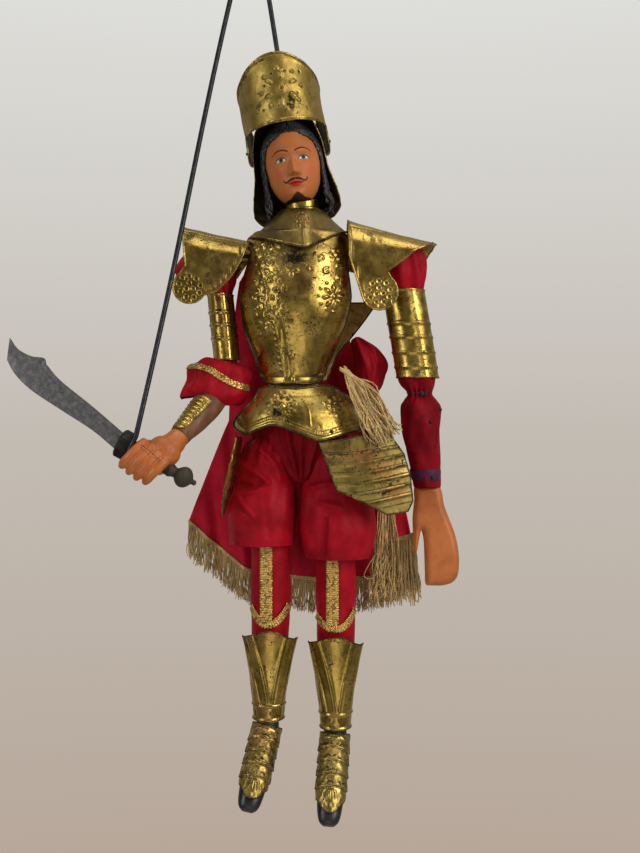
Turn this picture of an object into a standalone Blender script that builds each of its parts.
"""Armoured rod marionette: a wooden knight hung from a head rod, with a second rod in his sword hand.

Units are metres and +Z is up. The origin is the bearing point inside the head rod's top hook, so
the whole figure hangs below it and faces -Y. "right" and "left" are the knight's own sides, which
puts the sword arm at -X. Every body has an empty on its joint axis, and its pieces hang from it.
"""

import math

import bmesh
import bpy
from mathutils import Matrix, Vector

# ---- driving dimensions -------------------------------------------------------------------------
GAP = 0.0003                      # smallest space between neighbouring solids
SHEET = 0.0012                    # armour sheet, with its rolled edge
ROD_RADIUS = 0.0026               # iron control rods
ROD_LEAN = 0.1593                 # the head rod leans this far in X for each metre it drops
HOOK_RADIUS = 0.0125              # centre line of the top hook

HEAD_DROP = 0.273                 # from the hook down to the middle of the face
NECK_EYE = Vector((0.0515, 0.0, -0.3235))
NECK_RING_RADIUS = 0.0080
STAPLE_Z = NECK_EYE.z - 2 * NECK_RING_RADIUS

SHOULDER_Z = -0.370
SHOULDER_X = {"right": -0.0385, "left": 0.150}
ELBOW = {"right": Vector((-0.025, -0.008, -0.503)), "left": Vector((0.172, 0.0, -0.507))}
WRIST_RIGHT = Vector((-0.073, -0.075, -0.563))
FIST = Vector((-0.0936, -0.088, -0.5770))
GRIP_DIRECTION = Vector((-0.876, 0.0, 0.482)).normalized()
HAND_ROD_EYE = Vector((-0.1118, -0.1015, -0.5758))

HIP_Z = -0.585
HIP_X = {"right": 0.0150, "left": 0.0830}
KNEE = {"right": Vector((0.0185, 0.0, -0.7325)), "left": Vector((0.0860, 0.0, -0.7380))}
ANKLE = {"right": Vector((0.0160, 0.0, -0.8520)), "left": Vector((0.0855, 0.0, -0.8600))}
TOE = {"right": Vector((-0.0015, -0.060, -0.9225)), "left": Vector((0.0780, -0.060, -0.9370))}
AXLE_RADIUS = 0.0020
BORE_RADIUS = 0.0025

VISOR_PIVOT_Z = 0.017             # in the head's own frame
HEAD_SHIFT = -0.0025              # the rod runs this much to one side of the face
HELMET_SHIFT = -0.0050            # middle of the helmet in X, in the head's frame
VISOR_SHIFT = -0.0043             # middle of the visor
TASSET_HINGE = {"right": Vector((-0.0135, -0.012, -0.5560)), "left": Vector((0.102, -0.0600, -0.5625))}

COLOURS = {                       # colour, metallic, roughness
    "iron": ((0.055, 0.058, 0.062), 0.9, 0.45),
    "brass": ((0.55, 0.42, 0.14), 1.0, 0.30),
    "steel": ((0.22, 0.22, 0.23), 0.9, 0.45),
    "skin": ((0.55, 0.20, 0.08), 0.0, 0.55),
    "black": ((0.012, 0.012, 0.014), 0.0, 0.45),
    "red_cloth": ((0.42, 0.010, 0.022), 0.0, 0.75),
    "gold_thread": ((0.48, 0.33, 0.12), 0.1, 0.65),
    "wood": ((0.42, 0.27, 0.14), 0.0, 0.70),
}


# ---- scene and collections ----------------------------------------------------------------------
for old in list(bpy.data.objects):
    bpy.data.objects.remove(old, do_unlink=True)

MODEL = bpy.data.collections.new("armoured_marionette")
CUTTERS = bpy.data.collections.new("cutters")
bpy.context.scene.collection.children.link(MODEL)
bpy.context.scene.collection.children.link(CUTTERS)


def material(name, kind):
    """A Principled material of one of the kinds above, named for its piece."""
    colour, metallic, roughness = COLOURS[kind]
    mat = bpy.data.materials.new(name)
    mat.use_nodes = True
    shader = mat.node_tree.nodes["Principled BSDF"]
    shader.inputs["Base Color"].default_value = (*colour, 1.0)
    shader.inputs["Metallic"].default_value = metallic
    shader.inputs["Roughness"].default_value = roughness
    return mat


def body(name, place, parent=None, turn=None):
    """An empty that stands for a moving body, on its joint axis."""
    empty = bpy.data.objects.new(name, None)
    empty.empty_display_size = 0.02
    MODEL.objects.link(empty)
    empty.matrix_world = Matrix.Translation(place) @ (turn or Matrix())
    if parent:
        world = empty.matrix_world.copy()
        empty.parent = parent
        empty.matrix_parent_inverse = parent.matrix_world.inverted()
        empty.matrix_world = world
    bpy.context.view_layer.update()
    return empty


def place(obj, kind, holder, local=False):
    """Link a piece, give it its material, and hang it from its body."""
    MODEL.objects.link(obj)
    obj.data.materials.append(material(obj.name + "_finish", kind))
    obj.parent = holder
    if not local:
        obj.matrix_parent_inverse = holder.matrix_world.inverted()
    bpy.context.view_layer.update()
    return obj


def mesh_object(name, bm, smooth=35.0):
    """A mesh object from a bmesh, with its normals facing out where it is closed."""
    bmesh.ops.recalc_face_normals(bm, faces=bm.faces)
    mesh = bpy.data.meshes.new(name)
    bm.to_mesh(mesh)
    bm.free()
    mesh.shade_smooth()
    mesh.set_sharp_from_angle(angle=math.radians(smooth))
    return bpy.data.objects.new(name, mesh)


# ---- shape makers -------------------------------------------------------------------------------
def ring(centre, radius_x, radius_y, sides, axis_x=Vector((1, 0, 0)), axis_y=Vector((0, 1, 0))):
    """Points of an ellipse about a centre."""
    return [
        centre + axis_x * radius_x * math.cos(a) + axis_y * radius_y * math.sin(a)
        for a in (2 * math.pi * i / sides for i in range(sides))
    ]


def loft_bmesh(rings, capped=True):
    """Skin a row of rings with quads, and close the ends with flat caps."""
    bm = bmesh.new()
    rows = [[bm.verts.new(p) for p in points] for points in rings]
    sides = len(rows[0])
    for low, high in zip(rows, rows[1:]):
        for i in range(sides):
            j = (i + 1) % sides
            bm.faces.new((low[i], low[j], high[j], high[i]))
    if capped:
        bm.faces.new(reversed(rows[0]))
        bm.faces.new(rows[-1])
    return bm


def limb(name, stations, sides=16):
    """A solid of elliptical sections; a station is (z, x, y, radius_x, radius_y)."""
    rings = [ring(Vector((x, y, z)), rx, ry, sides) for z, x, y, rx, ry in stations]
    return mesh_object(name, loft_bmesh(rings))


def sleeve(name, stations, thickness, sides=20):
    """A tube of elliptical sections, open at both ends; the stations give its outer face."""
    rings = [ring(Vector((x, y, z)), rx, ry, sides) for z, x, y, rx, ry in stations]
    obj = mesh_object(name, loft_bmesh(rings, capped=False))
    solidify(obj, thickness, -1.0)
    return obj


def solidify(obj, thickness, offset):
    """Give an open surface its thickness; its normals decide which side is out."""
    shell = obj.modifiers.new("thickness", "SOLIDIFY")
    shell.thickness = thickness
    shell.offset = offset
    return obj


def smooth_loft(points, per_span):
    """A Catmull-Rom curve through tuples of any length."""
    ends = [points[0], *points, points[-1]]
    out = []
    for p0, p1, p2, p3 in zip(ends, ends[1:], ends[2:], ends[3:]):
        for i in range(per_span):
            t = i / per_span
            out.append(tuple(
                0.5 * (2 * b + (c - a) * t + (2 * a - 5 * b + 4 * c - d) * t * t
                       + (3 * b - a - 3 * c + d) * t ** 3)
                for a, b, c, d in zip(p0, p1, p2, p3)
            ))
    out.append(tuple(points[-1]))
    return out


def plate(name, outline, cell, surface, thickness=SHEET, offset=1.0):
    """A sheet cut to a flat outline, diced into cells, laid on a surface(u, v) and thickened.

    offset 1 thickens it towards (d surface / du) x (d surface / dv), and -1 the other way.
    """
    turns = zip(outline, outline[1:] + outline[:1])
    if sum(a[0] * b[1] - b[0] * a[1] for a, b in turns) < 0:
        outline = outline[::-1]
    bm = bmesh.new()
    bm.faces.new([bm.verts.new((u, v, 0.0)) for u, v in outline])
    for axis in (0, 1):
        low = min(p[axis] for p in outline)
        high = max(p[axis] for p in outline)
        cuts = max(1, round((high - low) / cell))
        normal = Vector((1, 0, 0)) if axis == 0 else Vector((0, 1, 0))
        for i in range(1, cuts):
            spot = normal * (low + (high - low) * i / cuts)
            parts = bm.verts[:] + bm.edges[:] + bm.faces[:]
            bmesh.ops.bisect_plane(bm, geom=parts, plane_co=spot, plane_no=normal, dist=1e-6)
    bmesh.ops.remove_doubles(bm, verts=bm.verts, dist=1e-5)
    bmesh.ops.triangulate(bm, faces=[f for f in bm.faces if len(f.verts) > 4])
    for vert in bm.verts:
        vert.co = surface(vert.co.x, vert.co.y)
    bm.normal_update()
    mesh = bpy.data.meshes.new(name)
    bm.to_mesh(mesh)
    bm.free()
    mesh.shade_smooth()
    return solidify(bpy.data.objects.new(name, mesh), thickness, offset)


def slab(name, outline, thickness, frame, bevel=0.0, segments=2):
    """A flat outline of the given thickness, centred on the frame's XZ plane."""
    bm = bmesh.new()
    half = Vector((0, thickness / 2, 0))
    base = bm.faces.new([bm.verts.new(Vector((u, 0, v)) - half) for u, v in outline])
    lifted = bmesh.ops.extrude_face_region(bm, geom=[base])["geom"]
    bmesh.ops.translate(bm, verts=[v for v in lifted if isinstance(v, bmesh.types.BMVert)], vec=2 * half)
    bmesh.ops.transform(bm, matrix=frame, verts=bm.verts)
    obj = mesh_object(name, bm)
    if bevel:
        edge = obj.modifiers.new("rounded", "BEVEL")
        edge.width = bevel
        edge.segments = segments
        edge.limit_method = "ANGLE"
    return obj


def wire(name, points, radius, kind, holder, sides=2, cyclic=False):
    """A bent wire or rod through a list of points."""
    curve = bpy.data.curves.new(name, "CURVE")
    curve.dimensions = "3D"
    curve.bevel_depth = radius
    curve.bevel_resolution = sides
    curve.use_fill_caps = not cyclic
    spline = curve.splines.new("POLY")
    spline.points.add(len(points) - 1)
    for spot, point in zip(spline.points, points):
        spot.co = (*point, 1.0)
    spline.use_cyclic_u = cyclic
    return place(bpy.data.objects.new(name, curve), kind, holder)


def arc(centre, radius, start, end, steps, axis_x, axis_y):
    """Points along a circle's arc, angles in degrees from axis_x towards axis_y."""
    return [
        centre + radius * (axis_x * math.cos(a) + axis_y * math.sin(a))
        for a in (math.radians(start + (end - start) * i / steps) for i in range(steps + 1))
    ]


def bore(obj, start, end, radius, sides=12):
    """Cut a round hole through a mesh object, from start to end in world space."""
    bm = bmesh.new()
    bmesh.ops.create_cone(bm, cap_ends=True, segments=sides, radius1=radius, radius2=radius,
                          depth=(end - start).length)
    turn = (end - start).to_track_quat("Z", "Y").to_matrix().to_4x4()
    bmesh.ops.transform(bm, matrix=Matrix.Translation((start + end) / 2) @ turn, verts=bm.verts)
    return cut(obj, mesh_object(obj.name + "_bore", bm))


def cut_box(obj, low, high):
    """Cut a box-shaped space out of a mesh object, its corners in world space."""
    bm = bmesh.new()
    bmesh.ops.create_cube(bm, size=1.0)
    size = Matrix.Diagonal((*(high - low), 1.0))
    bmesh.ops.transform(bm, matrix=Matrix.Translation((low + high) / 2) @ size, verts=bm.verts)
    return cut(obj, mesh_object(obj.name + "_slot", bm))


def cut(obj, cutter, operation="DIFFERENCE"):
    """Hide a cutter and use it on an object."""
    CUTTERS.objects.link(cutter)
    cutter.hide_render = True
    cutter.display_type = "WIRE"
    boolean = obj.modifiers.new(operation.lower(), "BOOLEAN")
    boolean.object = cutter
    boolean.operation = operation
    return obj


def cylinder(name, start, end, radius, sides=12):
    """A plain round bar between two points."""
    bm = bmesh.new()
    bmesh.ops.create_cone(bm, cap_ends=True, segments=sides, radius1=radius, radius2=radius,
                          depth=(end - start).length)
    turn = (end - start).to_track_quat("Z", "Y").to_matrix().to_4x4()
    bmesh.ops.transform(bm, matrix=Matrix.Translation((start + end) / 2) @ turn, verts=bm.verts)
    return mesh_object(name, bm)


def blend(value, low, high):
    """0 below low, 1 above high, a smooth ramp between."""
    t = min(1.0, max(0.0, (value - low) / (high - low)))
    return t * t * (3 - 2 * t)


def along(table, z):
    """Read a table of (z, value) rows, falling z, by straight interpolation."""
    if z >= table[0][0]:
        return table[0][1]
    for (z0, v0), (z1, v1) in zip(table, table[1:]):
        if z >= z1:
            return v0 + (v1 - v0) * (z0 - z) / (z0 - z1)
    return table[-1][1]


# ---- bodies -------------------------------------------------------------------------------------
HEAD_TURN = Matrix.Rotation(-math.atan(ROD_LEAN), 4, "Y")
HEAD_CENTRE = Vector((ROD_LEAN * HEAD_DROP, 0.0, -HEAD_DROP))
ROOT = body("root_frame", Vector((0, 0, 0)))
HEAD = body("head_frame", HEAD_CENTRE, ROOT, HEAD_TURN)
VISOR = body("visor_frame", HEAD.matrix_world @ Vector((0, 0, VISOR_PIVOT_Z)), ROOT, HEAD_TURN)
NECK = body("neck_link_frame", NECK_EYE, ROOT)
TORSO = body("torso_frame", Vector((NECK_EYE.x, 0.0, STAPLE_Z)), NECK)
ARM = {s: body(f"arm_{s}_frame", Vector((SHOULDER_X[s], 0.0, SHOULDER_Z)), TORSO) for s in SHOULDER_X}
FOREARM = {s: body(f"forearm_{s}_frame", ELBOW[s], ARM[s]) for s in ELBOW}
HAND_ROD = body("hand_rod_frame", HAND_ROD_EYE, FOREARM["right"])
TASSET = {s: body(f"tasset_{s}_frame", TASSET_HINGE[s], TORSO) for s in TASSET_HINGE}
THIGH = {s: body(f"thigh_{s}_frame", Vector((HIP_X[s], 0.0, HIP_Z)), TORSO) for s in HIP_X}
SHIN = {s: body(f"shin_{s}_frame", KNEE[s], THIGH[s]) for s in KNEE}
AXIS_X, AXIS_Y, AXIS_Z = Vector((1, 0, 0)), Vector((0, 1, 0)), Vector((0, 0, 1))


# ---- head rod and head --------------------------------------------------------------------------
def make_head_rod():
    """Hook at the top, straight bar through the head, and an eye that carries the neck ring."""
    hook_centre = Vector((0, 0, -(HOOK_RADIUS - ROD_RADIUS)))
    down = Vector((ROD_LEAN, 0, -1))
    eye_radius = 0.0052
    hook = arc(hook_centre, HOOK_RADIUS, 200, -15, 12, AXIS_X, AXIS_Z)
    shoulder = [down * 0.030 + AXIS_X * 0.0035, down * 0.045]
    foot = NECK_EYE - down.normalized() * (eye_radius + 0.003)
    eye = arc(NECK_EYE, eye_radius, 90, 405, 12, AXIS_Y, AXIS_Z)
    points = hook + shoulder + [down * 0.120, down * 0.220, foot] + eye[1:]
    wire("head_rod", points, ROD_RADIUS * 0.98, "iron", ROOT)


def make_head():
    """Carved head and neck, with the long bore for the rod."""
    stations = smooth_loft([
        (-0.0440, 0, 0.002, 0.0130, 0.0130), (-0.0410, -0.001, 0.002, 0.0145, 0.0145),
        (-0.0380, -0.002, -0.004, 0.0185, 0.0230), (-0.0300, HEAD_SHIFT, -0.004, 0.0235, 0.0300),
        (-0.0120, HEAD_SHIFT, -0.002, 0.0280, 0.0330), (0.0080, HEAD_SHIFT, 0.000, 0.0290, 0.0340),
        (0.0240, HEAD_SHIFT, 0.001, 0.0270, 0.0330), (0.0400, HEAD_SHIFT, 0.002, 0.0185, 0.0250),
        (0.0480, HEAD_SHIFT, 0.003, 0.0090, 0.0120),
    ], 1)
    head = place(limb("head", stations), "skin", HEAD, local=True)
    nose = mesh_object("head_nose", loft_bmesh([
        ring(Vector((HEAD_SHIFT, -0.028, -0.010)), 0.006, 0.009, 10),
        ring(Vector((HEAD_SHIFT, -0.031, 0.006)), 0.004, 0.005, 10),
    ]))
    nose.matrix_world = HEAD.matrix_world
    cut(head, nose, "UNION")
    drill = HEAD.matrix_world
    bore(head, drill @ Vector((0, 0, -0.06)), drill @ Vector((0, 0, 0.07)), ROD_RADIUS + 0.0012)


def make_hair():
    """Black hair: a cap round the head that falls to the shoulders, open over the face."""
    def surface(u, v):
        angle = u / 0.031
        fall = blend(-v, 0.020, 0.055)
        radius_x = 0.0310 + 0.0050 * fall
        radius_y = 0.0365 + 0.0035 * fall
        crown = math.sqrt(max(0.0, 1 - max(0.0, (v - 0.010) / 0.044) ** 2))
        middle = HEAD_SHIFT - 0.0015 * blend(abs(angle), 1.0, 2.2)
        return Vector((middle + radius_x * crown * math.sin(angle), 0.002 - radius_y * crown * math.cos(angle), v))

    half = 0.031 * math.radians(179.0)
    side = 0.031 * math.radians(62.0)
    outline = [(side, -0.047), (half, -0.045), (half, 0.0420), (side * 0.9, 0.0400), (side * 0.98, 0.0150)]
    for name, flip in (("hair_left", 1), ("hair_right", -1)):
        shape = [(u * flip, v) for u, v in outline]
        place(plate(name, shape, 0.012, surface, 0.0018), "black", HEAD, local=True)


def make_helmet():
    """Brass skull with a flared neck guard, one raised sheet with its face cut open."""
    profile = smooth_loft([
        (0.0040, 0.0600), (0.0150, 0.0565), (0.0245, 0.0480), (0.0325, 0.0330), (0.0368, 0.0150),
        (0.0385, -0.0100), (0.0430, -0.0300), (0.0480, -0.0560),
    ], 2)
    rings = [
        ring(Vector((HELMET_SHIFT * blend(0.060 - z, 0.0, 0.025), 0.001, z)), r, r * 1.05 + 0.002, 24)
        for r, z in profile
    ]
    skull = mesh_object("helmet_skull", loft_bmesh(rings, capped=False))
    solidify(skull, SHEET, 1.0)
    place(skull, "brass", HEAD, local=True)
    bm = bmesh.new()
    bmesh.ops.create_cube(bm, size=1.0)
    low, high = Vector((-0.08, -0.09, -0.08)), Vector((0.08, -0.010, 0.044))
    size = Matrix.Diagonal((*(high - low), 1.0))
    bmesh.ops.transform(bm, matrix=HEAD.matrix_world @ Matrix.Translation((low + high) / 2) @ size, verts=bm.verts)
    cut(skull, mesh_object("helmet_face_cut", bm))


def make_visor():
    """Tall curved visor that turns on two rivets at the temples."""
    radius, depth = 0.0425, 0.0500

    def surface(u, v):
        angle = u / radius
        middle = VISOR_SHIFT - 0.0012 * blend(v, 0.020, 0.060)
        return Vector((middle + radius * math.sin(angle), -depth * math.cos(angle), v))

    def arch(degrees):
        turn = math.radians(degrees)
        return 0.100 - 0.013 * (math.sin(turn) ** 2 + 1 - math.cos(turn))

    top = [(radius * math.radians(d), arch(d)) for d in range(90, -91, -15)]
    tab = [(radius * math.radians(d), z) for d, z in (
        (-108, 0.0640), (-122, 0.0480), (-126, 0.0300), (-118, 0.0150), (-104, 0.0100), (-88, 0.0110),
        (-76, 0.0190), (-68, 0.0280), (-58, 0.0320))]
    lower = [(radius * math.radians(d), 0.032) for d in (-40, -20, 0, 20, 40)]
    outline = top + tab + lower + [(-u, v) for u, v in reversed(tab)]
    visor = place(plate("visor", outline, 0.012, surface), "brass", VISOR, local=True)
    visor.location = (0, 0, -VISOR_PIVOT_Z)
    bpy.context.view_layer.update()
    world = HEAD.matrix_world
    bore(visor, world @ Vector((-0.06, 0, VISOR_PIVOT_Z)), world @ Vector((0.06, 0, VISOR_PIVOT_Z)), 0.0021)
    for side, sign in (("right", -1), ("left", 1)):
        start = 0.0368 + SHEET + 0.0006 + sign * (HELMET_SHIFT - VISOR_SHIFT)
        head = [(start, 0.0016), (0.0442, 0.0016), (0.0444, 0.0034), (0.0456, 0.0030), (0.0462, 0.0016)]
        rings = [
            ring(Vector((VISOR_SHIFT + sign * x, 0, VISOR_PIVOT_Z)), r, r, 12, AXIS_Y, AXIS_Z) for x, r in head
        ]
        rivet = mesh_object(f"visor_rivet_{side}", loft_bmesh(rings))
        place(rivet, "brass", HEAD, local=True)


def make_neck():
    """Brass neck band on the head, and the ring that lets the body swing under it."""
    band = sleeve("neck_band", [(-0.0415, 0, 0.002, 0.0168, 0.0168), (-0.0520, 0, 0.002, 0.0172, 0.0172)], SHEET)
    place(band, "brass", HEAD, local=True)
    centre = NECK_EYE - AXIS_Z * NECK_RING_RADIUS
    wire("neck_ring", arc(centre, NECK_RING_RADIUS, 0, 345, 23, AXIS_X, AXIS_Z), 0.0013, "iron", NECK, 1, True)
    loop = arc(Vector((NECK_EYE.x, 0, STAPLE_Z)), 0.0042, 0, 180, 8, AXIS_Y, AXIS_Z)
    leg = AXIS_Z * 0.0052
    wire("neck_staple", [loop[0] - leg] + loop + [loop[-1] - leg], 0.0013, "iron", TORSO, 1)


# ---- torso --------------------------------------------------------------------------------------
BREAST_CENTRE = [(-0.350, 0.0480), (-0.410, 0.0455), (-0.500, 0.0415)]
BREAST_HALF = [(-0.350, 0.0530), (-0.375, 0.0570), (-0.415, 0.0600), (-0.445, 0.0545), (-0.480, 0.0395), (-0.505, 0.0320)]
BREAST_DEPTH = [(-0.350, 0.0440), (-0.385, 0.0540), (-0.430, 0.0540), (-0.480, 0.0400), (-0.505, 0.0350)]


def breast_surface(u, v):
    """The breastplate's outer face at X = u, Z = v."""
    side = min(1.0, abs(u - along(BREAST_CENTRE, v)) / along(BREAST_HALF, v))
    return Vector((u, -along(BREAST_DEPTH, v) * math.sqrt(max(0.0, 1 - side ** 2.2)), v))


def make_torso_block():
    """Turned and carved trunk, with a lug below for the hip axle."""
    block = limb("torso_block", smooth_loft([
        (-0.3470, 0.0500, 0, 0.0180, 0.0140), (-0.3520, 0.0480, 0, 0.0380, 0.0240),
        (-0.3660, 0.0470, 0, 0.0450, 0.0320), (-0.4000, 0.0460, 0, 0.0480, 0.0400),
        (-0.4400, 0.0450, 0, 0.0420, 0.0380), (-0.4800, 0.0430, 0, 0.0300, 0.0290),
        (-0.5020, 0.0420, 0, 0.0250, 0.0250), (-0.5230, 0.0460, 0, 0.0370, 0.0290),
        (-0.5420, 0.0480, 0, 0.0440, 0.0300), (-0.5455, 0.0480, 0, 0.0420, 0.0280),
    ], 1))
    place(block, "wood", TORSO)
    lug = cylinder("torso_lug", Vector((0.0468, 0, -0.530)), Vector((0.0468, 0, HIP_Z - 0.006)), 0.0036)
    cut(block, lug, "UNION")
    bore(block, Vector((-0.06, 0, SHOULDER_Z)), Vector((0.16, 0, SHOULDER_Z)), BORE_RADIUS)
    bore(block, Vector((0.03, 0, HIP_Z)), Vector((0.07, 0, HIP_Z)), BORE_RADIUS)
    axle = cylinder("shoulder_axle", Vector((-0.046, 0, SHOULDER_Z)), Vector((0.160, 0, SHOULDER_Z)), AXLE_RADIUS)
    place(axle, "iron", TORSO)
    axle = cylinder("hip_axle", Vector((0.006, 0, HIP_Z)), Vector((0.092, 0, HIP_Z)), AXLE_RADIUS)
    place(axle, "iron", TORSO)


def make_cuirass():
    """Breastplate, back plate and the two halves of the gorget."""
    outline = [
        (0.001, -0.352), (0.0955, -0.352), (0.0965, -0.375), (0.1010, -0.405), (0.1008, -0.420),
        (0.0947, -0.444), (0.0866, -0.464), (0.0780, -0.484), (0.0695, -0.5010), (0.0415, -0.5030),
        (0.0132, -0.5010), (0.004, -0.479), (-0.008, -0.449), (-0.0115, -0.420), (-0.0085, -0.395), (-0.001, -0.372),
    ]
    place(plate("breastplate", outline, 0.0125, breast_surface), "brass", TORSO)

    back_depth = [(-0.345, 0.0330), (-0.400, 0.0440), (-0.450, 0.0420), (-0.505, 0.0320)]

    def back_surface(u, v):
        side = min(1.0, abs(u - 0.0560) / 0.0700)
        return Vector((u, along(back_depth, v) * (1 - side ** 2.6) + 0.012 * side ** 2.6, v))

    back = [
        (0.006, -0.3535), (0.0930, -0.3535), (0.0950, -0.385), (0.0965, -0.414), (0.1180, -0.426), (0.1205, -0.434),
        (0.1020, -0.454), (0.0860, -0.472), (0.0760, -0.498), (0.0100, -0.498), (0.0050, -0.470), (0.0020, -0.440),
        (0.0020, -0.400),
    ]
    place(plate("backplate", back, 0.0140, back_surface, SHEET, -1.0), "brass", TORSO)

    def gorget(name, turn, tip, ends, offset):
        """One half of the collar: two flat wings from the neck to a low point in the middle."""
        def surface(u, v):
            angle, t = u / 0.040, v / 0.045
            wing = min(1.0, abs(angle) / math.radians(86))
            end = ends[0] if angle < 0 else ends[1]
            low = (tip.lerp(end, wing)).to_3d()
            low.y = tip.y + (end.y - tip.y) * (0.35 * wing + 0.65 * wing ** 2)
            high = Vector((0.0500 + 0.0235 * math.sin(angle), 0.0225 * math.cos(angle), -0.3235))
            spot = high.lerp(low, t)
            if turn < 0 and spot.z < -0.338:
                spot.y = max(spot.y, -breast_surface(spot.x, spot.z).y + SHEET + 0.0026)
            spot.y *= turn
            return spot

        half = 0.040 * math.radians(86)
        outline = [(half, 0.0), (-half, 0.0), (-half, 0.045), (0.0, 0.045), (half, 0.045)]
        return place(plate(name, outline, 0.0100, surface, SHEET, offset), "brass", TORSO)

    right, left = Vector((-0.0020, 0.0060, -0.3545)), Vector((0.0975, 0.0060, -0.3470))
    gorget("gorget", -1, Vector((0.0545, 0.0600, -0.3700)), (right, left), -1.0)
    gorget("gorget_back", 1, Vector((0.0500, 0.0500, -0.3440)), (right, left), 1.0)


FAULD_HALF = [(-0.500, 0.0400), (-0.512, 0.0480), (-0.530, 0.0660), (-0.562, 0.0760)]
FAULD_DEPTH = [(-0.500, 0.0380), (-0.512, 0.0460), (-0.530, 0.0560), (-0.562, 0.0640)]


def fauld_surface(u, v):
    """The fauld's face at X = u, Z = v."""
    side = min(1.0, abs(u - (0.0440 - 0.10 * (v + 0.505))) / along(FAULD_HALF, v))
    return Vector((u, -along(FAULD_DEPTH, v) * math.sqrt(max(0.0, 1 - side ** 2.2)), v))


def make_fauld():
    """Flared skirt plate under the breastplate, and the cloth seat inside it."""
    outline = [
        (0.0122, -0.5065), (0.0450, -0.5085), (0.0780, -0.5050), (0.0950, -0.5130), (0.1090, -0.5260), (0.1179, -0.5458),
        (0.0900, -0.5545), (0.0685, -0.5596), (0.0507, -0.5537), (0.0260, -0.5448), (0.0100, -0.5480),
        (-0.0056, -0.5537), (-0.0184, -0.5428), (0.0010, -0.5210),
    ]
    place(plate("fauld", outline, 0.0125, fauld_surface), "brass", TORSO)
    seat = sleeve("breeches_seat", [
        (-0.5140, 0.0455, 0, 0.0390, 0.0350), (-0.5300, 0.0470, 0, 0.0490, 0.0370),
        (-0.5480, 0.0480, 0, 0.0520, 0.0390), (-0.5560, 0.0480, 0, 0.0500, 0.0380),
    ], 0.0020)
    place(seat, "red_cloth", TORSO)


def make_tassets():
    """Ribbed thigh plates: the left one hangs in front, the right one at the side."""
    front = [
        (0.0685, -0.5640), (0.1355, -0.5640), (0.1562, -0.5832), (0.1621, -0.6207), (0.1572, -0.6305), (0.1365, -0.6335),
        (0.1178, -0.6236), (0.0862, -0.6089), (0.0794, -0.5911),
    ]

    def front_surface(u, v):
        turn = max(0.0, u - 0.085)
        return Vector((u, -0.0610 + 0.9 * turn ** 1.6, v))

    place(plate("tasset_left", front, 0.0150, front_surface), "brass", TASSET["left"])

    side = [
        (0.0250, -0.5580), (-0.0500, -0.5580), (-0.0540, -0.5800), (-0.0450, -0.6050), (-0.0250, -0.6250),
        (-0.0050, -0.6379), (0.0140, -0.6200), (0.0270, -0.5850),
    ]

    def side_surface(u, v):
        drop = -0.558 - v
        bow = ((u + 0.012) / 0.042) ** 2
        turn = 0.06 * (u + 0.054) * min(1.0, drop / 0.037)
        return Vector((-0.0162 - 0.225 * drop + 0.003 * bow + turn, u, v))

    place(plate("tasset_right", side, 0.0150, side_surface, SHEET, -1.0), "brass", TASSET["right"])


# ---- cape, fringe and knots ---------------------------------------------------------------------
CAPE_HEM = [(-0.0745, -0.6500), (-0.0400, -0.6800), (-0.0066, -0.7030), (0.0300, -0.7100), (0.0695, -0.7130),
            (0.1228, -0.7105), (0.1434, -0.7080), (0.1720, -0.6900)]


def cape_surface(u, v):
    """The cape's back face: it hangs clear of the legs and waves a little near its hem."""
    fall = blend(-v, 0.40, 0.68)
    wave = 0.006 * fall * math.sin((u + 0.08) * 60.0)
    return Vector((u, 0.0500 + 0.0130 * fall + wave, v))


def make_cape():
    """Cloth that hangs behind the figure, with a thick fringe sewn along its hem."""
    left = [(0.0040, -0.3560), (-0.0180, -0.3900), (-0.0260, -0.4500), (-0.0300, -0.5400), (-0.0500, -0.5870)]
    right = [(0.1680, -0.6600), (0.1560, -0.6000), (0.1440, -0.5290), (0.1200, -0.4950), (0.1080, -0.4720),
             (0.0960, -0.4350), (0.0880, -0.4000), (0.0850, -0.3560)]
    place(plate("cape", left + CAPE_HEM + right, 0.0230, cape_surface, 0.0016, -1.0), "red_cloth", TORSO)
    top = [(u, v - 5 * GAP) for u, v in CAPE_HEM]
    bottom = [(u, v - 0.040) for u, v in reversed(CAPE_HEM)]
    place(plate("cape_fringe", top + bottom, 0.0200, cape_surface, 0.0024, -1.0), "gold_thread", TORSO)


def make_knots():
    """The gathered corner of the cape at the left hip, and the two tassels by it."""
    knot = limb("hip_knot", smooth_loft([
        (-0.4530, 0.1100, 0.018, 0.0050, 0.0060), (-0.4650, 0.1180, 0.018, 0.0140, 0.0130),
        (-0.4820, 0.1240, 0.018, 0.0160, 0.0150), (-0.5000, 0.1230, 0.018, 0.0120, 0.0130),
        (-0.5130, 0.1220, 0.018, 0.0050, 0.0060),
    ], 1), 12)
    place(knot, "red_cloth", TORSO)
    tassel = limb("hip_tassel", [
        (-0.4880, 0.0960, -0.0480, 0.0040, 0.0035), (-0.5100, 0.1060, -0.0560, 0.0080, 0.0045),
        (-0.5350, 0.1240, -0.0620, 0.0130, 0.0050), (-0.5560, 0.1340, -0.0640, 0.0140, 0.0045),
    ], 10)
    place(tassel, "gold_thread", TORSO)
    lower = limb("lower_tassel", [
        (-0.6000, 0.1390, 0.0120, 0.0050, 0.0050), (-0.6500, 0.1420, 0.0180, 0.0080, 0.0070),
        (-0.7000, 0.1460, 0.0260, 0.0120, 0.0090), (-0.7300, 0.1490, 0.0300, 0.0130, 0.0090),
    ], 10)
    place(lower, "gold_thread", TORSO)


# ---- arms ---------------------------------------------------------------------------------------
def arm_centre(side, z):
    """X of the upper arm's middle at height z."""
    t = (SHOULDER_Z - z) / (SHOULDER_Z - ELBOW[side].z)
    return SHOULDER_X[side] + (ELBOW[side].x - SHOULDER_X[side]) * t


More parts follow.
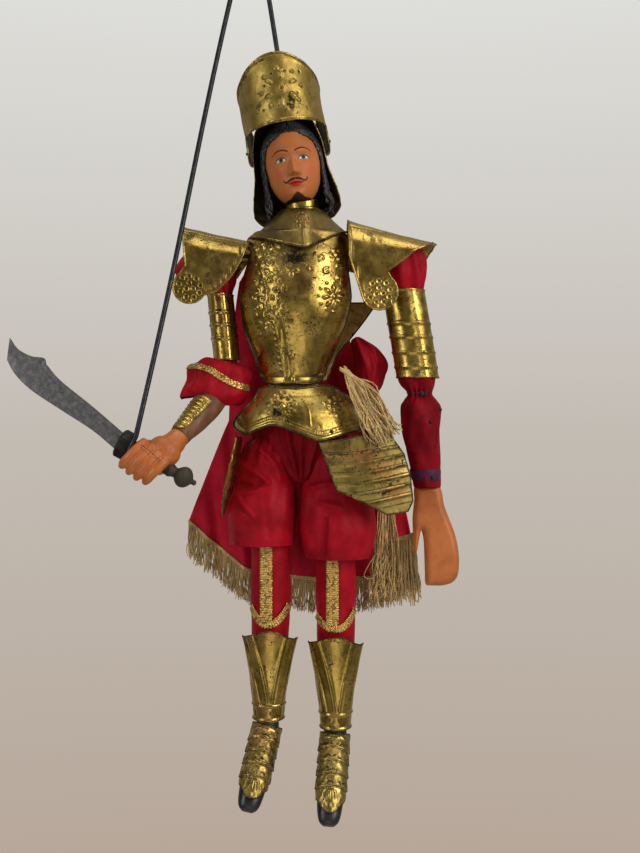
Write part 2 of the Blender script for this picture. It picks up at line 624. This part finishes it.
def make_upper_arm(side, half_x, half_y, tube_top, tube_end, core_end):
    """Stuffed cloth upper arm on the shoulder axle, in its brass tube."""
    def station(z, scale):
        return (z, arm_centre(side, z), 0.0, half_x * scale, half_y * scale)

    core = limb(f"upper_arm_{side}", [
        station(SHOULDER_Z + 0.0140, 0.45), station(SHOULDER_Z + 0.0100, 0.80), station(SHOULDER_Z, 0.95),
        station(SHOULDER_Z - 0.0200, 0.97), station(tube_top, 0.88), station(core_end + 0.006, 0.82),
        station(core_end, 0.55),
    ])
    place(core, "red_cloth", ARM[side])
    x = SHOULDER_X[side]
    bore(core, Vector((x - 0.04, 0, SHOULDER_Z)), Vector((x + 0.04, 0, SHOULDER_Z)), BORE_RADIUS)
    tube = sleeve(f"rerebrace_{side}", [
        station(tube_top, 1.0), station((tube_top + tube_end) / 2, 1.0), station(tube_end, 1.0)], SHEET)
    place(tube, "brass", ARM[side])


def pauldron(side, outline, rear, inner_x, outer_x, ridge, foot, depth):
    """Shoulder plate bent over the arm; outline and rear give its edge in front and behind, as (x, z).

    ridge and foot are (inner, outer) heights of its top and of where it turns straight down.
    """
    def span(x):
        return (x - inner_x) / (outer_x - inner_x)

    def level(pair, x):
        return pair[0] + (pair[1] - pair[0]) * span(x)

    def unroll(x, z):
        top, low = level(ridge, x), level(foot, x)
        if z > low:
            return math.acos(min(1.0, (z - low) / (top - low))) * 0.030
        return (math.pi / 2 + (low - z) / 0.030) * 0.030

    def surface(u, v):
        turn = abs(v) / 0.030
        top, low = level(ridge, u), level(foot, u)
        if turn < math.pi / 2:
            y, z = depth * math.sin(turn), low + (top - low) * math.cos(turn)
        else:
            y, z = depth, low - (turn - math.pi / 2) * 0.030
        return Vector((u, math.copysign(y, v) if v else 0.0, z))

    front = [(x, -unroll(x, z)) for x, z in outline]
    back = [(x, unroll(x, z)) for x, z in reversed(rear)]
    sheet = plate(f"pauldron_{side}", front + back, 0.0130, surface)
    return place(sheet, "brass", ARM[side])


def make_pauldrons():
    """Both shoulder plates, each with a round lobe in front and behind."""
    centre, radius = Vector((0.1290, 0, -0.4120)), 0.0180
    lobe = arc(centre, radius, 50, -170, 9, AXIS_X, AXIS_Z)
    corner = [(0.1880, -0.3605), (0.1745, -0.3650), (0.1560, -0.3775), (0.1365, -0.3915)]
    outline = corner + [(p.x, p.z) for p in lobe] + [(0.0990, -0.3760), (0.0985, -0.3500)]
    rear = [(0.1880, -0.3605), (0.1800, -0.3780), (0.1480, -0.3860), (0.1220, -0.3840), (0.0990, -0.3780), (0.0985, -0.3500)]
    pauldron("left", outline, rear, 0.0985, 0.1880, (-0.3340, -0.3600), (-0.3720, -0.3720), 0.0460)
    centre, radius = Vector((-0.0605, 0, -0.4070)), 0.0165
    lobe = arc(centre, radius, 125, 330, 9, AXIS_X, AXIS_Z)
    corner = [(-0.0330, -0.4110), (-0.0190, -0.3970), (-0.0090, -0.3800), (-0.0030, -0.3640)]
    outline = [(-0.0690, -0.3460), (-0.0645, -0.3860)] + [(p.x, p.z) for p in lobe] + corner
    rear = [(-0.0690, -0.3460), (-0.0640, -0.3800), (-0.0420, -0.3900), (-0.0200, -0.3860), (-0.0030, -0.3640)]
    pauldron("right", outline, rear, -0.0030, -0.0690, (-0.3560, -0.3420), (-0.3800, -0.3720), 0.0460)


def make_elbow_swag():
    """Loose red cloth that is tied round the right elbow."""
    swag = sleeve("elbow_swag", [
        (-0.4700, -0.0290, -0.002, 0.0190, 0.0260), (-0.4840, -0.0340, -0.006, 0.0270, 0.0320),
        (-0.4940, -0.0360, -0.009, 0.0285, 0.0335),
    ], 0.0030)
    place(swag, "red_cloth", ARM["right"])


def forearm_frame():
    """A frame at the right elbow whose -Z runs to the wrist."""
    down = (WRIST_RIGHT - ELBOW["right"]).normalized()
    turn = (-down).to_track_quat("Z", "X").to_matrix().to_4x4()
    return Matrix.Translation(ELBOW["right"]) @ turn


def make_right_forearm():
    """Right forearm with two brass splints, and the fist that is drilled for sword and rod."""
    frame = forearm_frame()
    length = (WRIST_RIGHT - ELBOW["right"]).length

    def lay(obj, kind, holder=FOREARM["right"]):
        obj.data.transform(frame)
        return place(obj, kind, holder)

    core = limb("forearm_right", [
        (0.0070, 0, 0, 0.0050, 0.0050), (0.0, 0, 0, 0.0080, 0.0080), (-0.0300, 0, 0, 0.0085, 0.0085),
        (-0.0400, 0, 0, 0.0125, 0.0120), (-0.0550, 0, 0, 0.0130, 0.0125), (-length + 0.0120, 0, 0, 0.0090, 0.0090),
    ], 14)
    lay(core, "red_cloth")

    def splint(name, middle):
        def surface(u, v):
            radius = 0.0160 - 0.0052 * (-v - 0.046) / (length - 0.058)
            angle = middle + u / 0.0160
            return Vector((radius * math.cos(angle), radius * math.sin(angle), v))

        end = -(length - 0.0120)
        outline = [(-0.0110, -0.0460), (0.0110, -0.0460), (0.0100, end + 0.004), (0.0, end), (-0.0100, end + 0.004)]
        lay(plate(name, outline, 0.0090, surface, SHEET, 1.0), "brass")

    splint("vambrace_outer", math.radians(14))
    splint("vambrace_inner", math.radians(-84))


def make_fist():
    """Closed right hand round the sword grip."""
    side = GRIP_DIRECTION.cross(AXIS_Y).normalized()
    rings = [
        ring(FIST + GRIP_DIRECTION * g, a, b, 18, AXIS_Y, side)
        for g, a, b in ((-0.0245, 0.0135, 0.0150), (-0.0200, 0.0190, 0.0210), (-0.0080, 0.0215, 0.0250),
                        (0.0080, 0.0215, 0.0255), (0.0160, 0.0195, 0.0230), (0.0200, 0.0150, 0.0180))
    ]
    fist = place(mesh_object("fist_right", loft_bmesh(rings)), "skin", FOREARM["right"])
    bore(fist, FIST - GRIP_DIRECTION * 0.05, FIST + GRIP_DIRECTION * 0.05, 0.0072, 14)
    bore(fist, HAND_ROD_EYE - AXIS_X * 0.012, HAND_ROD_EYE + AXIS_X * 0.018, 0.0033)
    cut_box(fist, HAND_ROD_EYE + Vector((-0.0040, -0.0200, -0.0030)), HAND_ROD_EYE + Vector((0.0105, 0.0075, 0.0300)))


def make_sword():
    """Curved sword: blade, guard plate and turned grip with a ball pommel."""
    turn = Matrix.Translation((0, FIST.y, 0))
    spine = [(-0.1150, -0.5560), (-0.1490, -0.5267), (-0.1787, -0.5027), (-0.1930, -0.4864), (-0.1950, -0.4807),
             (-0.2074, -0.4787), (-0.2199, -0.4720), (-0.2275, -0.4615)]
    edge = [(-0.2304, -0.4826), (-0.2228, -0.4960), (-0.2074, -0.5113), (-0.1787, -0.5305), (-0.1490, -0.5497),
            (-0.1270, -0.5680)]
    blade = slab("sword_blade", spine + edge, 0.0022, turn)
    place(blade, "steel", FOREARM["right"])

    side = GRIP_DIRECTION.cross(AXIS_Y).normalized()
    hub = FIST + GRIP_DIRECTION * 0.0262
    rings = [ring(hub + GRIP_DIRECTION * g, a, b, 8, AXIS_Y, side)
             for g, a, b in ((-0.0060, 0.0090, 0.0135), (-0.0040, 0.0105, 0.0150), (0.0056, 0.0105, 0.0150),
                             (0.0076, 0.0080, 0.0115))]
    guard = place(mesh_object("sword_guard", loft_bmesh(rings)), "iron", FOREARM["right"])
    cut(guard, slab("guard_slot", [(u, v) for u, v in ((-0.1080, -0.5480), (-0.1420, -0.5480), (-0.1420, -0.5820),
                                                       (-0.1080, -0.5820))], 0.0030, turn))
    profile = [(0.0195, 0.0050), (0.0190, 0.0064), (0.0, 0.0068), (-0.0240, 0.0060), (-0.0290, 0.0050),
               (-0.0320, 0.0085), (-0.0370, 0.0105), (-0.0420, 0.0085), (-0.0450, 0.0050), (-0.0480, 0.0045),
               (-0.0500, 0.0030)]
    rings = [ring(FIST + GRIP_DIRECTION * g, r, r, 14, AXIS_Y, side) for g, r in profile]
    place(mesh_object("sword_grip", loft_bmesh(rings)), "wood", FOREARM["right"])


def make_hand_rod():
    """Second control rod: a bent foot that turns in the fist, and a finger loop at the top."""
    foot = HAND_ROD_EYE + AXIS_X * 0.0150
    knee = Vector((-0.1046, HAND_ROD_EYE.y, -0.5553))
    top = Vector((-0.0116, -0.012, -0.0610))
    loop = arc(Vector((-0.0170, -0.012, -0.0500)), 0.0100, -50, 275, 14, AXIS_X, AXIS_Z)
    bend = [foot, HAND_ROD_EYE + AXIS_X * 0.0020, HAND_ROD_EYE + Vector((-0.0003, 0, 0.0030))]
    wire("hand_rod", bend + [knee, knee.lerp(top, 0.33), knee.lerp(top, 0.67), top] + loop, ROD_RADIUS * 0.95,
         "iron", HAND_ROD)


def make_left_forearm():
    """Stuffed left forearm, pinched at the elbow, with a carved mitten hand."""
    x0, x1 = ELBOW["left"].x, 0.1805
    stations = [(-0.5000, 0.0060), (-0.5030, 0.0095), (-0.5100, 0.0105), (-0.5180, 0.0135), (-0.5290, 0.0200),
                (-0.5500, 0.0190), (-0.5800, 0.0155), (-0.6080, 0.0135)]
    forearm = limb("forearm_left", smooth_loft([
        (z, x0 + (x1 - x0) * (ELBOW["left"].z - z) / 0.101, 0.0, r, r) for z, r in stations], 1))
    place(forearm, "red_cloth", FOREARM["left"])
    outline = [
        (0.1690, -0.6084), (0.1925, -0.6084), (0.2000, -0.6300), (0.2110, -0.6600), (0.2135, -0.6800), (0.2125, -0.6980),
        (0.2040, -0.7090), (0.1900, -0.7115), (0.1785, -0.7110), (0.1775, -0.6800), (0.1770, -0.6620), (0.1745, -0.6530),
        (0.1725, -0.6600), (0.1700, -0.6760), (0.1672, -0.6750), (0.1660, -0.6550), (0.1655, -0.6400),
    ]
    hand = slab("hand_left", outline, 0.0190, Matrix(), 0.0025)
    place(hand, "skin", FOREARM["left"])


# ---- legs ---------------------------------------------------------------------------------------
BREECHES = {
    "right": [(-0.5630, 0.0180, 0.000, 0.0240, 0.0250), (-0.6000, 0.0130, 0.000, 0.0300, 0.0320),
              (-0.6400, 0.0092, -0.002, 0.0358, 0.0380), (-0.6675, 0.0095, -0.002, 0.0345, 0.0365)],
    "left": [(-0.5630, 0.0790, 0.000, 0.0260, 0.0260), (-0.6000, 0.0840, 0.000, 0.0335, 0.0330),
             (-0.6450, 0.0882, -0.002, 0.0408, 0.0400), (-0.6820, 0.0878, -0.002, 0.0385, 0.0380)],
}
GREAVE_TOP = {"right": -0.7640, "left": -0.7700}
GREAVE_END = {"right": -0.8490, "left": -0.8580}


def make_leg(side):
    """Pinned wooden leg: thigh, breeches, hose, knee pin, shin, greave, boot and sabaton."""
    hip, knee, ankle = Vector((HIP_X[side], 0, HIP_Z)), KNEE[side], ANKLE[side]

    def on_thigh(z):
        t = (HIP_Z - z) / (HIP_Z - knee.z)
        return hip.x + (knee.x - hip.x) * t

    thigh = limb(f"thigh_{side}", [
        (HIP_Z + 0.0130, hip.x, 0, 0.0080, 0.0060), (HIP_Z + 0.0090, hip.x, 0, 0.0120, 0.0110),
        (HIP_Z, hip.x, 0, 0.0140, 0.0130), (HIP_Z - 0.03, on_thigh(HIP_Z - 0.03), 0, 0.0145, 0.0145),
        (knee.z + 0.02, knee.x, 0, 0.0140, 0.0130), (knee.z - 0.0060, knee.x, 0, 0.0135, 0.0120),
        (knee.z - 0.0100, knee.x, 0, 0.0110, 0.0080),
    ], 14)
    place(thigh, "wood", THIGH[side])
    bore(thigh, hip - AXIS_X * 0.03, hip + AXIS_X * 0.03, BORE_RADIUS)
    cut_box(thigh, knee + Vector((-0.0052, -0.03, -0.03)), knee + Vector((0.0052, 0.03, 0.0125)))
    bore(thigh, knee - AXIS_X * 0.03, knee + AXIS_X * 0.03, AXLE_RADIUS + GAP)
    pin = cylinder(f"knee_pin_{side}", knee - AXIS_X * 0.0125, knee + AXIS_X * 0.0125, AXLE_RADIUS)
    place(pin, "iron", THIGH[side])

    breeches = place(sleeve(f"breeches_{side}", smooth_loft(BREECHES[side], 2), 0.0020), "red_cloth", THIGH[side])
    bore(breeches, Vector((0.032, 0, HIP_Z)), Vector((0.062, 0, HIP_Z)), BORE_RADIUS)
    hem = BREECHES[side][-1][0]
    hose = sleeve(f"hose_{side}", [(hem + 0.012, knee.x, 0, 0.0200, 0.0200), (knee.z + 0.035, knee.x, 0, 0.0205, 0.0205),
                                   (knee.z + 0.0050, knee.x, 0, 0.0205, 0.0205)], 0.0020, 16)
    place(hose, "red_cloth", THIGH[side])

    shin = limb(f"shin_{side}", [
        (knee.z + 0.0095, knee.x, 0, 0.0040, 0.0040), (knee.z + 0.0060, knee.x, 0, 0.0045, 0.0080),
        (knee.z, knee.x, 0, 0.0046, 0.0098), (knee.z - 0.0165, knee.x, 0, 0.0046, 0.0098),
        (knee.z - 0.0195, knee.x, 0, 0.0120, 0.0120), (knee.z - 0.0300, knee.x, 0, 0.0135, 0.0135),
        (knee.z - 0.0700, (knee.x + ankle.x) / 2, 0, 0.0115, 0.0120), (ankle.z + 0.0105, ankle.x, 0, 0.0105, 0.0110),
    ], 14)
    place(shin, "red_cloth", SHIN[side])
    bore(shin, knee - AXIS_X * 0.03, knee + AXIS_X * 0.03, BORE_RADIUS)
    make_greave(side, knee, ankle)
    make_foot(side, ankle)


def make_greave(side, knee, ankle):
    """Fluted shin plate, flared below the knee and open down the back."""
    top, end = GREAVE_TOP[side], GREAVE_END[side]

    def surface(u, v):
        t = (top - v) / (top - end)
        radius = 0.0158 + 0.0129 * max(0.0, 1.0 - t) ** 1.6
        angle = u / 0.020
        x = knee.x + (ankle.x - knee.x) * t
        return Vector((x + radius * math.sin(angle), -radius * 0.95 * math.cos(angle), v))

    wrap = 0.020 * math.radians(140)
    outline = [(wrap, end), (wrap, top - 0.004), (wrap * 0.5, top - 0.001), (0.0, top + 0.010), (-wrap * 0.5, top + 0.002),
               (-wrap, top + 0.001), (-wrap, end)]
    place(plate(f"greave_{side}", outline, 0.0115, surface), "brass", SHIN[side])


def foot_axes(ankle, toe):
    """Length, sole and width directions of a drooping foot."""
    forward = (toe - ankle).normalized()
    sole = (AXIS_Y - forward * AXIS_Y.dot(forward)).normalized()
    return forward, sole, forward.cross(sole).normalized()


def make_foot(side, ankle):
    """Carved boot with a small heel, and the sabaton over its instep."""
    toe = TOE[side]
    forward, sole, width = foot_axes(ankle, toe)
    length = (toe - ankle).length
    stations = [(-0.010, 0.0110, 0.0110, 0.0), (0.10, 0.0128, 0.0130, 0.002), (0.35, 0.0134, 0.0132, 0.002),
                (0.65, 0.0136, 0.0108, 0.004), (0.88, 0.0118, 0.0080, 0.005), (1.0, 0.0080, 0.0055, 0.006)]
    rings = [ring(ankle + forward * length * t + sole * s, w, h, 16, width, sole) for t, w, h, s in stations]
    boot = place(mesh_object(f"boot_{side}", loft_bmesh(rings)), "black", SHIN[side])
    heel = ankle + forward * 0.020 + sole * 0.008
    cut(boot, cylinder(f"heel_{side}", heel, heel + sole * 0.022, 0.0105, 10), "UNION")

    def surface(u, v):
        t = v / length
        w = 0.0158 - 0.0030 * blend(t, 0.60, 0.95)
        h = 0.0158 - 0.0052 * blend(t, 0.35, 0.95)
        angle = u / 0.018
        centre = ankle + forward * v + sole * (0.002 + 0.003 * t)
        return centre + width * w * math.sin(angle) - sole * h * math.cos(angle)

    wrap = 0.018 * math.radians(78)
    outline = [(wrap, 0.004), (wrap, 0.78 * length), (wrap * 0.4, 0.87 * length), (-wrap * 0.4, 0.87 * length),
               (-wrap, 0.78 * length), (-wrap, 0.004), (-wrap * 0.5, 0.010), (wrap * 0.5, 0.010)]
    place(plate(f"sabaton_{side}", outline, 0.0110, surface, SHEET, -1.0), "brass", SHIN[side])


# ---- assembly -----------------------------------------------------------------------------------
make_head_rod()
make_head()
make_hair()
make_helmet()
make_visor()
make_neck()
make_torso_block()
make_cuirass()
make_fauld()
make_tassets()
make_cape()
make_knots()
make_upper_arm("right", 0.0125, 0.0190, -0.4100, -0.4780, -0.4860)
make_upper_arm("left", 0.0210, 0.0180, -0.4050, -0.4960, -0.4900)
make_pauldrons()
make_elbow_swag()
make_right_forearm()
make_fist()
make_sword()
make_hand_rod()
make_left_forearm()
for leg_side in ("right", "left"):
    make_leg(leg_side)
